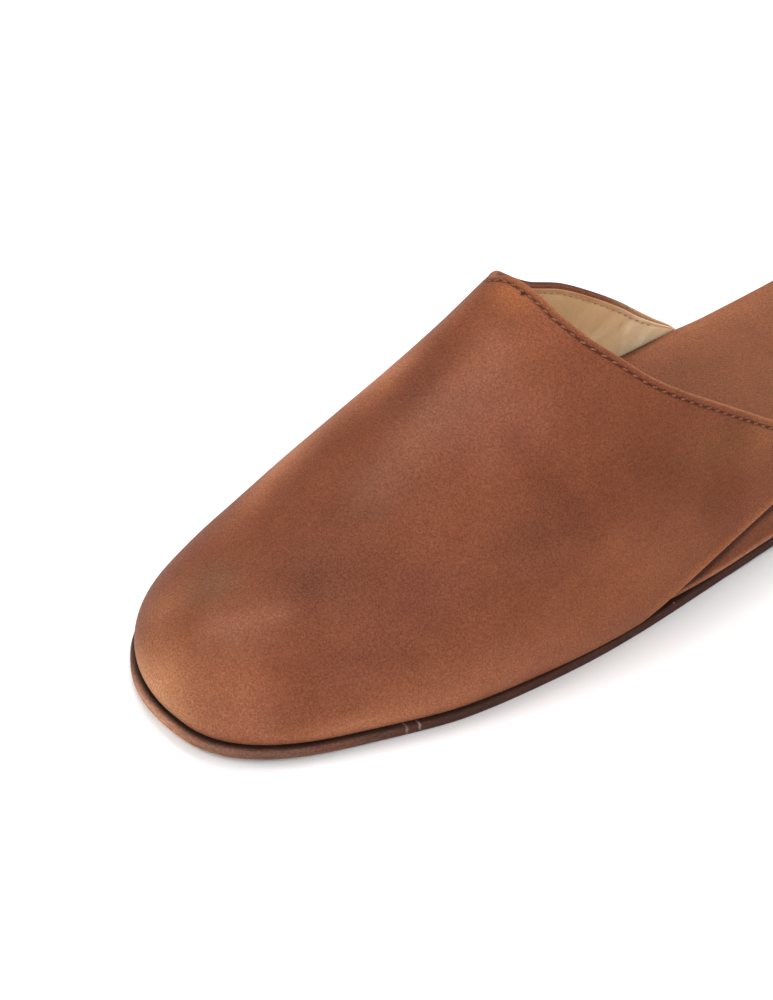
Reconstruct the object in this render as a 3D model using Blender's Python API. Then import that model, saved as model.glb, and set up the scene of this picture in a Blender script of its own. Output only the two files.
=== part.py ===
"""A left leather slipper, open at the back: a thin leather outsole, a padded
footbed covered in leather that rises towards the heel, and a vamp that arches
over the forefoot and ends in a wing along each side of the footbed.

The shoe stands on z = 0 with its toe towards -Y and its outer (lateral) side
towards +X. A place along the shoe is given by its distance from the toe tip.
"""
import math

import bmesh
import bpy

MM = 0.001  # every size and table below is in millimetres

LENGTH = 290.0
GLUE_GAP = 0.32  # clearance left between glued pieces
SIDE_SHIFT = -0.5  # brings the middle of the whole width onto x = 0
SHARP_ANGLE = 40.0  # degrees between faces from which an edge is shaded sharp

# Half widths of the sole, and the length over which each side rounds into the toe and heel.
SOLE_SECTIONS = (
    # from toe, lateral, medial
    (0.0, 38.5, 47.0),
    (32.0, 39.5, 50.0),
    (64.0, 44.5, 48.0),
    (106.0, 47.7, 44.0),
    (155.0, 44.5, 40.5),
    (203.0, 41.0, 37.0),
    (250.0, 37.0, 36.0),
    (290.0, 36.0, 36.0),
)
TOE_ROUND = {1: 80.0, -1: 54.5}
TOE_POWER = 2.3
HEEL_ROUND = 37.0
HEEL_POWER = 2.2
TIP_SHIFT = 3.6
TIP_SHIFT_LENGTH = 117.0

SOLE_THICKNESS = 2.7
SOLE_BEVEL = 0.5
TOE_SPRING = 2.2
TOE_SPRING_LENGTH = 80.0
ARCH_RISE = 0.7
ARCH_START = 142.0
ARCH_END = 222.0
OUTSOLE_COLOUR = (0.115, 0.055, 0.034)
OUTSOLE_ROUGHNESS = 0.7

# The footbed: its top's height above the floor, and how far its foot stands in from the sole's edge.
FOOTBED_SECTIONS = (
    # from toe, top height, inset
    (0.0, 10.6, 5.8),
    (60.0, 12.6, 5.0),
    (107.0, 14.9, 3.9),
    (122.0, 15.9, 3.3),
    (140.0, 17.0, 1.4),
    (158.0, 18.2, 0.5),
    (213.0, 21.4, 0.5),
    (290.0, 25.6, 0.5),
)
FOOTBED_LEAN = 1.7  # how far the side leans in by the start of the rounded edge
FOOTBED_WAIST_HEIGHT = 0.45  # share of the side's height at which the lean eases off
FOOTBED_WAIST_LEAN = 0.7  # share of the lean reached there
FOOTBED_EDGE_RADIUS = 4.2
FOOTBED_DISH = 0.8
FOOTBED_DISH_WIDTH = 15.0
FOOTBED_COLOUR = (0.235, 0.105, 0.050)
FOOTBED_ROUGHNESS = 0.6

# The vamp's wall.
WALL = 2.2
VAMP_SECTIONS = (
    # from toe, inset from the sole's edge, lateral fullness, medial fullness
    (0.0, 0.4, 2.2, 2.2),
    (64.0, -0.6, 2.0, 1.85),
    (128.0, -1.6, 2.0, 1.33),
    (170.0, -1.6, 1.85, 1.4),
    (217.0, -1.6, 1.55, 1.55),
)
RIDGE_FULLNESS = 2.1
VAMP_RIDGE = (
    # from toe, sideways place, height
    (0.0, -5.2, 24.5),
    (16.0, -5.8, 25.5),
    (32.0, -6.4, 29.0),
    (48.0, -7.0, 37.5),
    (64.0, -7.3, 48.3),
    (80.0, -6.9, 58.0),
    (96.0, -6.2, 67.4),
    (112.0, -5.5, 77.0),
    (126.0, -5.1, 85.6),
    (160.0, -6.3, 100.0),
    (217.0, -8.6, 117.0),
)
TOE_FAN = 40.5  # how far behind the tip the toe's rows meet
TOE_FAN_POWER = 3.0
FEATHER_TUCK = 1.9  # how far the lower edge turns in, and up to what height
FEATHER_TUCK_HEIGHT = 8.5
VAMP_COLOUR = (0.262, 0.108, 0.052)
VAMP_ROUGHNESS = 0.6

# The topline falls from the throat, on the ridge, to the tip of a wing on each side. Its turn is
# measured round the vamp's section, 0 at the sole and 90 degrees on the ridge.
TOPLINE = (
    # turn, lateral from toe, medial from toe
    (11.5, 205.5, 217.0),
    (14.0, 198.0, 213.0),
    (17.0, 190.0, 207.0),
    (21.0, 180.5, 199.5),
    (26.0, 168.5, 190.5),
    (32.0, 156.0, 179.0),
    (39.0, 144.0, 165.5),
    (47.0, 134.5, 149.5),
    (56.0, 128.0, 138.0),
    (66.0, 123.0, 129.0),
    (77.0, 121.0, 121.5),
    (90.0, 121.0, 121.0),
)
# Each wing's lower edge leaves the sole and climbs over the footbed's side to the tip.
WING_EDGE = (
    # from toe, lateral turn, medial turn
    (121.0, 0.0, 0.0),
    (128.0, 1.6, 4.2),
    (137.0, 3.5, 7.3),
    (150.0, 5.6, 9.8),
    (165.0, 7.8, 11.4),
    (178.0, 9.6, 12.4),
    (192.0, 10.8, 12.3),
    (206.0, 11.4, 12.0),
    (217.0, 11.5, 11.5),
)

# Rows of faces. They are crowded over a length at the toe and at the heel.
CROWDED_TOE = 45.0
CROWDED_HEEL = 34.0
EDGE_STEPS_TOE = 13
EDGE_STEPS_SIDE = 18
EDGE_STEPS_HEEL = 11
FOOTBED_EDGE_STEPS = 4
VAMP_ROWS_TOE = 11
VAMP_ROWS_BACK = 20
VAMP_TURNS = 24
TURN_CROWDING = 1.35  # over 1 draws the rows' points towards the sole
TOPLINE_PASSES = 10  # rounds of refinement that find where a column meets the topline
MERGE_DISTANCE = 0.35  # joins the two halves of the vamp along the ridge and at the toe
SLOPE_STEP = 1.0  # step along the edge over which its direction is measured
SLOPE_STEP_SHARE = 0.2  # the step near a tip, as a share of the distance to it
SLOPE_STEP_LEAST = 1e-4


def curve(rows, column):
    """Smooth curve through one column of a table, against its first, with no overshoot."""
    places = [row[0] for row in rows]
    values = [row[column] for row in rows]
    spans = [b - a for a, b in zip(places, places[1:])]
    slopes = [(b - a) / span for a, b, span in zip(values, values[1:], spans)]
    tangents = [slopes[0]]
    for before, after, left, right in zip(spans, spans[1:], slopes, slopes[1:]):
        if left * right <= 0.0:
            tangents.append(0.0)
            continue
        weight_left = 2.0 * after + before
        weight_right = after + 2.0 * before
        tangents.append((weight_left + weight_right) / (weight_left / left + weight_right / right))
    tangents.append(slopes[-1])

    def value(place):
        place = min(max(place, places[0]), places[-1])
        index = 0
        while index < len(spans) - 1 and place > places[index + 1]:
            index += 1
        span = spans[index]
        t = (place - places[index]) / span
        start = values[index] + t * t * (3.0 - 2.0 * t) * (values[index + 1] - values[index])
        bend = t * (1.0 - t) * span
        return start + bend * ((1.0 - t) * tangents[index] - t * tangents[index + 1])

    return value


HALF_WIDTH = {1: curve(SOLE_SECTIONS, 1), -1: curve(SOLE_SECTIONS, 2)}
FOOTBED_TOP = curve(FOOTBED_SECTIONS, 1)
FOOTBED_INSET = curve(FOOTBED_SECTIONS, 2)
VAMP_INSET = curve(VAMP_SECTIONS, 1)
FULLNESS = {1: curve(VAMP_SECTIONS, 2), -1: curve(VAMP_SECTIONS, 3)}
RIDGE_X = curve(VAMP_RIDGE, 1)
RIDGE_HEIGHT = curve(VAMP_RIDGE, 2)
TOPLINE_PLACE = {1: curve(TOPLINE, 1), -1: curve(TOPLINE, 2)}
WING_TURN = {1: curve(WING_EDGE, 1), -1: curve(WING_EDGE, 2)}


def rounded_end(distance, reach, power):
    """Width factor of a rounded end: 0 at its tip and 1 from its reach on."""
    left = 1.0 - min(max(distance / reach, 0.0), 1.0)
    return (1.0 - left ** power) ** (1.0 / power)


def edge_x(side, along):
    """Sideways place of the sole's edge, side 1 lateral and -1 medial."""
    shift = max(1.0 - along / TIP_SHIFT_LENGTH, 0.0)
    width = HALF_WIDTH[side](along)
    width *= rounded_end(along, TOE_ROUND[side], TOE_POWER)
    width *= rounded_end(LENGTH - along, HEEL_ROUND, HEEL_POWER)
    return TIP_SHIFT * shift * shift + side * width


def inward(side, along):
    """Unit direction, in plan, square to the sole's edge and into the shoe."""
    nearest_tip = min(along, LENGTH - along)
    step = min(SLOPE_STEP, SLOPE_STEP_SHARE * nearest_tip + SLOPE_STEP_LEAST)
    before = max(along - step, 0.0)
    after = min(along + step, LENGTH)
    slope = (edge_x(side, after) - edge_x(side, before)) / (after - before)
    size = math.hypot(1.0, slope)
    return (-side / size, side * slope / size)


def inset_point(side, along, inset):
    """Point in plan at a distance inside the sole's edge."""
    direction = inward(side, along)
    return (edge_x(side, along) + direction[0] * inset, along + direction[1] * inset)


def sole_bottom(along):
    """Height of the sole's underside: toe spring, flat forefoot, low arch, flat heel."""
    spring = max(1.0 - along / TOE_SPRING_LENGTH, 0.0)
    arch = min(max((along - ARCH_START) / (ARCH_END - ARCH_START), 0.0), 1.0)
    return TOE_SPRING * spring * spring + ARCH_RISE * math.sin(math.pi * arch) ** 2


def edge_stations():
    """Places along the shoe, close together where its ends turn."""
    toe = CROWDED_TOE
    heel = LENGTH - CROWDED_HEEL
    places = [toe * (1.0 - math.cos(0.5 * math.pi * i / EDGE_STEPS_TOE)) for i in range(EDGE_STEPS_TOE)]
    places += [toe + (heel - toe) * i / EDGE_STEPS_SIDE for i in range(EDGE_STEPS_SIDE)]
    turn = 0.5 * math.pi / EDGE_STEPS_HEEL
    places += [heel + (LENGTH - heel) * math.sin(turn * i) for i in range(EDGE_STEPS_HEEL + 1)]
    return places


def vertex(point):
    """Scene coordinates of a point given as sideways place, distance from toe and height."""
    return ((point[0] + SIDE_SHIFT) * MM, (point[1] - LENGTH / 2.0) * MM, point[2] * MM)


def edge_ring(mesh, inset_at, height_at):
    """Closed ring of vertices around the shoe, from the toe tip round the heel and back."""
    stations = edge_stations()
    walk = [(1, along) for along in stations] + [(-1, along) for along in stations[-2:0:-1]]
    ring = []
    for side, along in walk:
        x, place = inset_point(side, along, inset_at(along))
        ring.append(mesh.verts.new(vertex((x, place, height_at(place)))))
    return ring


def bridge(mesh, lower, upper):
    """Wall of quads between two rings, facing out."""
    for i in range(len(lower)):
        j = (i + 1) % len(lower)
        mesh.faces.new((lower[i], lower[j], upper[j], upper[i]))


def cap(mesh, ring, facing_up):
    """Strips of quads across a ring, from its lateral half to its medial half."""
    count = len(ring)
    for i in range(count // 2):
        corners = (ring[i], ring[i + 1], ring[(count - i - 1) % count], ring[(count - i) % count])
        faces = list(dict.fromkeys(corners))
        mesh.faces.new(faces if facing_up else faces[::-1])


def add_object(name, mesh, colour, roughness):
    """Object with its own material, from a finished bmesh."""
    data = bpy.data.meshes.new(name)
    mesh.to_mesh(data)
    mesh.free()
    data.shade_smooth()
    data.set_sharp_from_angle(angle=math.radians(SHARP_ANGLE))
    material = bpy.data.materials.new(name + "_leather")
    material.use_nodes = True
    shader = material.node_tree.nodes["Principled BSDF"]
    shader.inputs["Base Color"].default_value = (*colour, 1.0)
    shader.inputs["Roughness"].default_value = roughness
    shader.inputs["Metallic"].default_value = 0.0
    data.materials.append(material)
    item = bpy.data.objects.new(name, data)
    bpy.context.scene.collection.objects.link(item)
    return item


def make_outsole():
    """Flat leather sole with a raw, slightly rounded edge."""
    mesh = bmesh.new()
    levels = (
        # inset, height above the underside
        (SOLE_BEVEL, 0.0),
        (0.0, SOLE_BEVEL),
        (0.0, SOLE_THICKNESS - SOLE_BEVEL),
        (SOLE_BEVEL, SOLE_THICKNESS),
    )
    rings = []
    for inset, rise in levels:
        rings.append(edge_ring(mesh, lambda along: inset, lambda place: sole_bottom(place) + rise))
    for lower, upper in zip(rings, rings[1:]):
        bridge(mesh, lower, upper)
    cap(mesh, rings[0], facing_up=False)
    cap(mesh, rings[-1], facing_up=True)
    return add_object("outsole", mesh, OUTSOLE_COLOUR, OUTSOLE_ROUGHNESS)


def footbed_base(place):
    """Height of the footbed's underside, on the sole."""
    return sole_bottom(place) + SOLE_THICKNESS + GLUE_GAP


def make_footbed():
    """Padded wedge that fills the shoe's floor, with a rounded upper edge and a slight dish."""
    mesh = bmesh.new()
    radius = FOOTBED_EDGE_RADIUS
    rings = []

    def level(extra_inset, share, drop):
        """Ring at a share of the wall's height, or at a drop below the top."""
        def height(place):
            top = FOOTBED_TOP(place) - drop
            return footbed_base(place) + (top - footbed_base(place)) * share
        rings.append(edge_ring(mesh, lambda along: FOOTBED_INSET(along) + extra_inset, height))

    level(0.0, 0.0, radius)
    level(FOOTBED_WAIST_LEAN * FOOTBED_LEAN, FOOTBED_WAIST_HEIGHT, radius)
    for i in range(FOOTBED_EDGE_STEPS + 1):
        turn = 0.5 * math.pi * i / FOOTBED_EDGE_STEPS
        level(FOOTBED_LEAN + radius * (1.0 - math.cos(turn)), 1.0, radius * (1.0 - math.sin(turn)))
    level(FOOTBED_LEAN + radius + FOOTBED_DISH_WIDTH, 1.0, FOOTBED_DISH)
    for lower, upper in zip(rings, rings[1:]):
        bridge(mesh, lower, upper)
    cap(mesh, rings[0], facing_up=False)
    cap(mesh, rings[-1], facing_up=True)
    return add_object("footbed", mesh, FOOTBED_COLOUR, FOOTBED_ROUGHNESS)


def ridge_place(station):
    """Where on the ridge a row of the vamp ends: rows near the toe tip meet behind it."""
    return (station ** TOE_FAN_POWER + TOE_FAN ** TOE_FAN_POWER) ** (1.0 / TOE_FAN_POWER)


def vamp_point(side, station, turn):
    """Outer face of the vamp: a row's place on the feather line and its turn up to the ridge."""
    foot = inset_point(side, station, VAMP_INSET(station))
    crown_along = ridge_place(station)
    crown = (RIDGE_X(crown_along), crown_along)
    out = max(math.cos(turn), 0.0) ** (2.0 / RIDGE_FULLNESS)
    rise = math.sin(turn) ** (2.0 / FULLNESS[side](station))
    x = crown[0] + (foot[0] - crown[0]) * out
    along = crown[1] + (foot[1] - crown[1]) * out
    base = footbed_base(foot[1])
    height = base + (RIDGE_HEIGHT(along) - base) * rise
    tuck = max(1.0 - (height - base) / FEATHER_TUCK_HEIGHT, 0.0)
    direction = inward(side, station)
    shift = FEATHER_TUCK * tuck * tuck
    return (x + direction[0] * shift, along + direction[1] * shift, height)


def vamp_grid(side):
    """Points of one half of the vamp's outer face: rows from the toe back to the topline."""
    toe = CROWDED_TOE
    columns = []
    for step in range(VAMP_TURNS + 1):
        share = (step / VAMP_TURNS) ** TURN_CROWDING
        end = TOPLINE[-1][1]
        for _ in range(TOPLINE_PASSES):
            low = WING_TURN[side](end)
            end = TOPLINE_PLACE[side](low + (90.0 - low) * share)
        places = [toe * (1.0 - math.cos(0.5 * math.pi * i / VAMP_ROWS_TOE)) for i in range(VAMP_ROWS_TOE)]
        places += [toe + (end - toe) * i / VAMP_ROWS_BACK for i in range(VAMP_ROWS_BACK + 1)]
        column = []
        for place in places:
            low = WING_TURN[side](place)
            column.append(vamp_point(side, place, math.radians(low + (90.0 - low) * share)))
        columns.append(column)
    return list(zip(*columns))


def make_vamp():
    """One open leather shell of even thickness, drawn as its outer face and thickened inwards."""
    mesh = bmesh.new()
    for side in (1, -1):
        rows = [[mesh.verts.new(vertex(point)) for point in row] for row in vamp_grid(side)]
        for near, far in zip(rows, rows[1:]):
            for step in range(VAMP_TURNS):
                corners = (near[step], far[step], far[step + 1], near[step + 1])
                mesh.faces.new(corners[::side])
    bmesh.ops.remove_doubles(mesh, verts=mesh.verts, dist=MERGE_DISTANCE * MM)
    vamp = add_object("vamp", mesh, VAMP_COLOUR, VAMP_ROUGHNESS)
    wall = vamp.modifiers.new("wall", "SOLIDIFY")
    wall.thickness = WALL * MM
    wall.offset = -1.0
    wall.use_quality_normals = True
    return vamp


for old in list(bpy.data.objects):
    bpy.data.objects.remove(old, do_unlink=True)
make_outsole()
make_footbed()
make_vamp()
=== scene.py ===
"""Looks of a left leather slipper, open at the back.

The pieces follow the order in which the slipper is put together. Sizes are in millimetres until
a mesh is made, a place along the shoe is its distance from the toe tip, and side 1 is the outer
(lateral) side of the foot and -1 the inner (medial) side.
"""

import math

import bpy
import numpy as np
from mathutils import Matrix, Vector


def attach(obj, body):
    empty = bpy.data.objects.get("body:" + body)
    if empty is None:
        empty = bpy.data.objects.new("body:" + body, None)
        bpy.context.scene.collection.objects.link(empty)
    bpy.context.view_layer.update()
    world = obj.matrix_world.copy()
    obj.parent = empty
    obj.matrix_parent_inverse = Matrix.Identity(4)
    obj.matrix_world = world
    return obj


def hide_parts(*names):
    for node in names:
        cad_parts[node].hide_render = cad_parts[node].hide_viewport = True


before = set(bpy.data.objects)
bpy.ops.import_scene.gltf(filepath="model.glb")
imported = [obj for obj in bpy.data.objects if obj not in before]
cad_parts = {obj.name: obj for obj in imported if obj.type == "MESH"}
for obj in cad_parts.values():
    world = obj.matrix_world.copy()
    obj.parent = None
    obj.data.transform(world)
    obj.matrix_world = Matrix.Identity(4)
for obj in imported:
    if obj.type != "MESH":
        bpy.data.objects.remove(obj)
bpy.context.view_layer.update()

# ---------------------------------------------------------------------------------------------
# Outsole
# A thin board of vegetable-tanned leather, cut to the shoe's outline. Its edge is left raw,
# stained brown and rubbed down, and it is cemented under the turned-in vamp and the footbed.
# ---------------------------------------------------------------------------------------------
MM = 0.001  # one millimetre in metres
SHOE_LENGTH = 290.0
SHOE_SIDE_SHIFT = -0.5  # brings the middle of the whole width onto x = 0
SOLE_OUTLINE = (
    # from toe, lateral half width, medial half width
    (0.0, 38.5, 47.0),
    (32.0, 39.5, 50.0),
    (64.0, 44.5, 48.0),
    (106.0, 47.7, 44.0),
    (155.0, 44.5, 40.5),
    (203.0, 41.0, 37.0),
    (250.0, 37.0, 36.0),
    (290.0, 36.0, 36.0),
)
TOE_ROUND = {1: 80.0, -1: 54.5}
TOE_POWER = 2.3
HEEL_ROUND = 37.0
HEEL_POWER = 2.2
TIP_SHIFT = 3.6  # how far the toe tip lies to the outer side
TIP_SHIFT_LENGTH = 117.0
SOLE_THICKNESS = 2.7
TOE_SPRING = 2.2
TOE_SPRING_LENGTH = 80.0
ARCH_RISE = 0.7
ARCH_START = 142.0
ARCH_END = 222.0
SOLE_EDGE_PROFILE = (
    # inset, height above the underside
    (0.50, 0.00),
    (0.22, 0.07),
    (0.05, 0.28),
    (0.00, 0.60),
    (0.06, 1.20),
    (0.02, 1.90),
    (0.05, 2.30),
    (0.22, 2.60),
    (0.55, SOLE_THICKNESS),
    (1.10, SOLE_THICKNESS),
    (1.80, SOLE_THICKNESS),
    (3.00, SOLE_THICKNESS),
    (9.00, SOLE_THICKNESS),
)
RAW_EDGE_WIDTH = 1.0  # the strip of the edge that the raw cut leaves uneven
RAW_EDGE_WANDER = 0.07
RAW_EDGE_WAVES = (
    # waves round the shoe, phase, share
    (23.0, 0.7, 1.0),
    (41.0, 2.1, 0.8),
    (67.0, 4.0, 0.6),
)
STATIONS_TOE = 40
STATIONS_SIDE = 70
STATIONS_HEEL = 34
CROWDED_TOE = 45.0  # lengths at the toe and the heel in which the stations crowd together
CROWDED_HEEL = 34.0
SLOPE_STEP = 1.0  # step along the edge over which its direction is measured
SLOPE_STEP_SHARE = 0.2  # the step near a tip, as a share of the distance to it
SLOPE_STEP_LEAST = 1e-4
TOE_FADE_START = 4.0  # from here back the edge's tone darkens, partly a darker stain and partly painted shade where the edge meets the floor
TOE_FADE = 50.0
SEAM_SHADE_HEIGHT = 2.2  # the painted shade in the seam under the vamp lies above this height
SEAM_SHADE_START = -0.1  # it grows inwards from this inset
SEAM_SHADE_FADE = 1.7
LOW_PALE_X = -10.0  # middle of the lighter strip low on the toe's edge
LOW_PALE_WIDTH = 14.0
LOW_PALE_HEIGHT = 1.2
LOW_PALE_STRENGTH = 0.8
MARK_FADE = (0.55, 1.15)  # a small mark fades between these shares of its reach
SOLE_TOE_TONE = (104, 73, 59)
SOLE_SIDE_TONE = (58, 34, 26)
SOLE_LOW_PALE_TONE = (184, 138, 106)
SOLE_SEAM_SHADE_TONE = (34, 17, 12)
SOLE_PATCHES = (
    # x, from toe, height, reach, colour, strength
    (-8.0, 1.0, 4.0, (16, 9, 7), (172, 126, 100), 0.95),
)
SOLE_NICKS = (
    # x, from toe and height, reach, colour, strength
    ((38.9, 45.5, 2.0), (1.6, 0.50, 1.4), (160, 142, 134), 0.50),
    ((40.5, 48.8, 2.2), (1.6, 0.42, 1.3), (162, 144, 136), 0.50),
    ((45.9, 134.0, 3.0), (0.7, 0.45, 0.4), (214, 166, 138), 0.85),
)


def curve(rows, column):
    """Smooth curve through one column of a table, against its first, with no overshoot."""
    table = np.array(rows, float)
    place, value = table[:, 0], table[:, column]
    span = np.diff(place)
    slope = np.diff(value) / span
    level = slope[:-1] * slope[1:] <= 0.0
    left = np.where(level, 1.0, slope[:-1])
    right = np.where(level, 1.0, slope[1:])
    weight_left = 2.0 * span[1:] + span[:-1]
    weight_right = span[1:] + 2.0 * span[:-1]
    middle = (weight_left + weight_right) / (weight_left / left + weight_right / right)
    tangent = np.concatenate([slope[:1], np.where(level, 0.0, middle), slope[-1:]])

    def at(x):
        x = np.clip(x, place[0], place[-1])
        i = np.clip(np.searchsorted(place, x) - 1, 0, len(span) - 1)
        t = (x - place[i]) / span[i]
        start = value[i] + t * t * (3.0 - 2.0 * t) * (value[i + 1] - value[i])
        return start + t * (1.0 - t) * span[i] * ((1.0 - t) * tangent[i] - t * tangent[i + 1])

    return at


half_width = {1: curve(SOLE_OUTLINE, 1), -1: curve(SOLE_OUTLINE, 2)}


def rounded_end(distance, reach, power):
    """Width factor of a rounded end: 0 at its tip and 1 from its reach on."""
    left = 1.0 - np.clip(distance / reach, 0.0, 1.0)
    return (1.0 - left ** power) ** (1.0 / power)


def edge_x(side, along):
    """Sideways place of the sole's edge."""
    shift = np.maximum(1.0 - along / TIP_SHIFT_LENGTH, 0.0)
    width = half_width[side](along) * rounded_end(along, TOE_ROUND[side], TOE_POWER)
    width = width * rounded_end(SHOE_LENGTH - along, HEEL_ROUND, HEEL_POWER)
    return TIP_SHIFT * shift * shift + side * width


def inward(side, along):
    """Unit direction in plan, square to the sole's edge and into the shoe."""
    to_tip = np.minimum(along, SHOE_LENGTH - along)
    step = np.minimum(SLOPE_STEP, SLOPE_STEP_SHARE * to_tip + SLOPE_STEP_LEAST)
    before = np.maximum(along - step, 0.0)
    after = np.minimum(along + step, SHOE_LENGTH)
    slope = (edge_x(side, after) - edge_x(side, before)) / (after - before)
    size = np.hypot(1.0, slope)
    return -side / size, side * slope / size


def inset_point(side, along, inset):
    """Point in plan at a distance inside the sole's edge."""
    aside, forward = inward(side, along)
    return edge_x(side, along) + aside * inset, along + forward * inset


def sole_bottom(along):
    """Height of the sole's underside: toe spring, flat forefoot, low arch, flat heel."""
    spring = np.maximum(1.0 - along / TOE_SPRING_LENGTH, 0.0)
    arch = np.clip((along - ARCH_START) / (ARCH_END - ARCH_START), 0.0, 1.0)
    return TOE_SPRING * spring * spring + ARCH_RISE * np.sin(math.pi * arch) ** 2


def edge_stations():
    """Stations from the toe tip to the heel's end, crowded together at both."""
    toe_turn = 0.5 * math.pi * np.arange(STATIONS_TOE) / STATIONS_TOE
    heel_turn = 0.5 * math.pi * np.arange(STATIONS_HEEL + 1) / STATIONS_HEEL
    heel_start = SHOE_LENGTH - CROWDED_HEEL
    toe = CROWDED_TOE * (1.0 - np.cos(toe_turn))
    middle = np.linspace(CROWDED_TOE, heel_start, STATIONS_SIDE, endpoint=False)
    return np.concatenate([toe, middle, heel_start + CROWDED_HEEL * np.sin(heel_turn)])


def edge_ring(inset_at, height_at):
    """Closed ring of points round the shoe, from the toe tip by the lateral side."""
    stations = edge_stations()
    lateral_x, lateral_y = inset_point(1, stations, inset_at(stations))
    back = stations[-2:0:-1]
    medial_x, medial_y = inset_point(-1, back, inset_at(back))
    x = np.concatenate([lateral_x, medial_x])
    y = np.concatenate([lateral_y, medial_y])
    return np.stack([x, y, height_at(y)], axis=-1)


def ring_faces(ring_count, size):
    """Quads between rings of equal size, and strips that close the first and the last ring."""
    faces = []
    for level in range(ring_count - 1):
        low, high = level * size, (level + 1) * size
        for i in range(size):
            j = (i + 1) % size
            faces.append((low + i, low + j, high + j, high + i))
    for first, up in ((0, False), ((ring_count - 1) * size, True)):
        for i in range(size // 2):
            corners = (i, i + 1, (size - i - 1) % size, (size - i) % size)
            strip = [first + corner for corner in dict.fromkeys(corners)]
            faces.append(tuple(strip if up else strip[::-1]))
    return faces


def make_piece(name, points, faces, tone=None):
    """Object from points in millimetres, with a colour painted on each point."""
    metres = np.array(points, float) * MM
    metres[:, 0] += SHOE_SIDE_SHIFT * MM
    metres[:, 1] -= 0.5 * SHOE_LENGTH * MM
    mesh = bpy.data.meshes.new(name)
    mesh.from_pydata(metres.tolist(), [], [tuple(int(i) for i in face) for face in faces])
    mesh.validate()
    mesh.shade_smooth()
    if tone is not None:
        paint = mesh.color_attributes.new("tone", "FLOAT_COLOR", "POINT")
        opaque = np.ones((len(metres), 4), np.float32)
        opaque[:, :3] = tone
        paint.data.foreach_set("color", opaque.ravel())
    piece = bpy.data.objects.new(name, mesh)
    bpy.context.scene.collection.objects.link(piece)
    return piece


def leather_colour(red, green, blue):
    """Linear colour of a leather swatch whose screen colour is given from 0 to 255."""
    screen = np.array([red, green, blue]) / 255.0
    return np.where(screen <= 0.04045, screen / 12.92, ((screen + 0.055) / 1.055) ** 2.4)


def blended(tone, weight, colour):
    """Tones drawn towards one colour by a weight, the same for all points or one for each."""
    return tone + np.reshape(weight, (-1, 1)) * (leather_colour(*colour) - tone)


def painted(points, base, patches):
    """Tone of each point: a base colour with soft patches laid over it."""
    tone = np.tile(leather_colour(*base), (len(points), 1))
    for x, along, height, reach, colour, strength in patches:
        away = (points - np.array([x, along, height])) / np.array(reach, float)
        tone = blended(tone, strength * np.exp(-np.sum(away * away, axis=1)), colour)
    return tone


def faded_in(value, start, length):
    """Weight that is 0 up to a start and 1 from a length after it."""
    return np.clip((value - start) / length, 0.0, 1.0)


def close_to(value, middle, spread):
    """Weight that is 1 at a middle and falls away over a spread."""
    return np.exp(-((value - middle) / spread) ** 2)


def add_node(tree, kind, inputs=None, **settings):
    """Shader node with its settings made, and its inputs set or linked."""
    made = tree.nodes.new("ShaderNode" + kind)
    for key, value in settings.items():
        setattr(made, key, value)
    for key, value in (inputs or {}).items():
        if isinstance(value, bpy.types.NodeSocket):
            tree.links.new(value, made.inputs[key])
        else:
            made.inputs[key].default_value = value
    return made


def mixed(tree, amount, first, second, mode="MIX"):
    """Colour socket that mixes two colours."""
    inputs = {0: amount, 6: first, 7: second}
    mix = add_node(tree, "Mix", inputs, data_type="RGBA", blend_type=mode, clamp_factor=True)
    return mix.outputs[2]


def tinted(tree, amount, colour, tint):
    """Colour socket multiplied by a tint, as far as an amount says."""
    return mixed(tree, amount, colour, (*tint, 1.0), "MULTIPLY")


def ranged(tree, value, low, high, start=0.0, end=1.0):
    """Value socket stretched from one range to another and held there."""
    inputs = {"Value": value, "From Min": low, "From Max": high, "To Min": start, "To Max": end}
    return add_node(tree, "MapRange", inputs).outputs["Result"]


def noise(tree, place, scale, detail, roughness=0.5, distortion=0.0, output="Fac"):
    """Socket of a noise texture."""
    inputs = {"Vector": place, "Scale": scale, "Detail": detail, "Roughness": roughness}
    return add_node(tree, "TexNoise", inputs | {"Distortion": distortion}).outputs[output]


def added(tree, first, second):
    """Value socket that adds two others."""
    return add_node(tree, "Math", {0: first, 1: second}, operation="ADD").outputs["Value"]


def raise_relief(tree, shader, height, strength, depth):
    """Lets a height show in the shading as fine relief of a depth in metres."""
    bump = add_node(tree, "Bump", {"Height": height, "Strength": strength, "Distance": depth})
    tree.links.new(bump.outputs["Normal"], shader.inputs["Normal"])


def new_material(name):
    """Material with its node tree and its shader."""
    material = bpy.data.materials.new(name)
    material.use_nodes = True
    tree = material.node_tree
    return material, tree, tree.nodes["Principled BSDF"]


def new_leather(name):
    """Material with its node tree and shader, the place on the piece and the tone painted there."""
    material, tree, shader = new_material(name)
    place = add_node(tree, "TexCoord").outputs["Object"]
    tone = add_node(tree, "Attribute", attribute_name="tone").outputs["Color"]
    return material, tree, shader, place, tone


def marked(tree, place, colour, centre, reach, mark, strength):
    """Colour with one small mark laid on it, at a place and with a reach in millimetres."""
    reach = np.array(reach, float)
    middle = (np.array(centre) + (SHOE_SIDE_SHIFT, -0.5 * SHOE_LENGTH, 0.0)) / reach
    inputs = {"Vector": place, "Location": tuple(-middle), "Scale": tuple(1.0 / (MM * reach))}
    from_mark = add_node(tree, "Mapping", inputs).outputs["Vector"]
    away = add_node(tree, "VectorMath", {0: from_mark}, operation="LENGTH").outputs["Value"]
    shown = ranged(tree, away, *MARK_FADE, strength, 0.0)
    return mixed(tree, shown, colour, (*leather_colour(*mark), 1.0))


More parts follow.
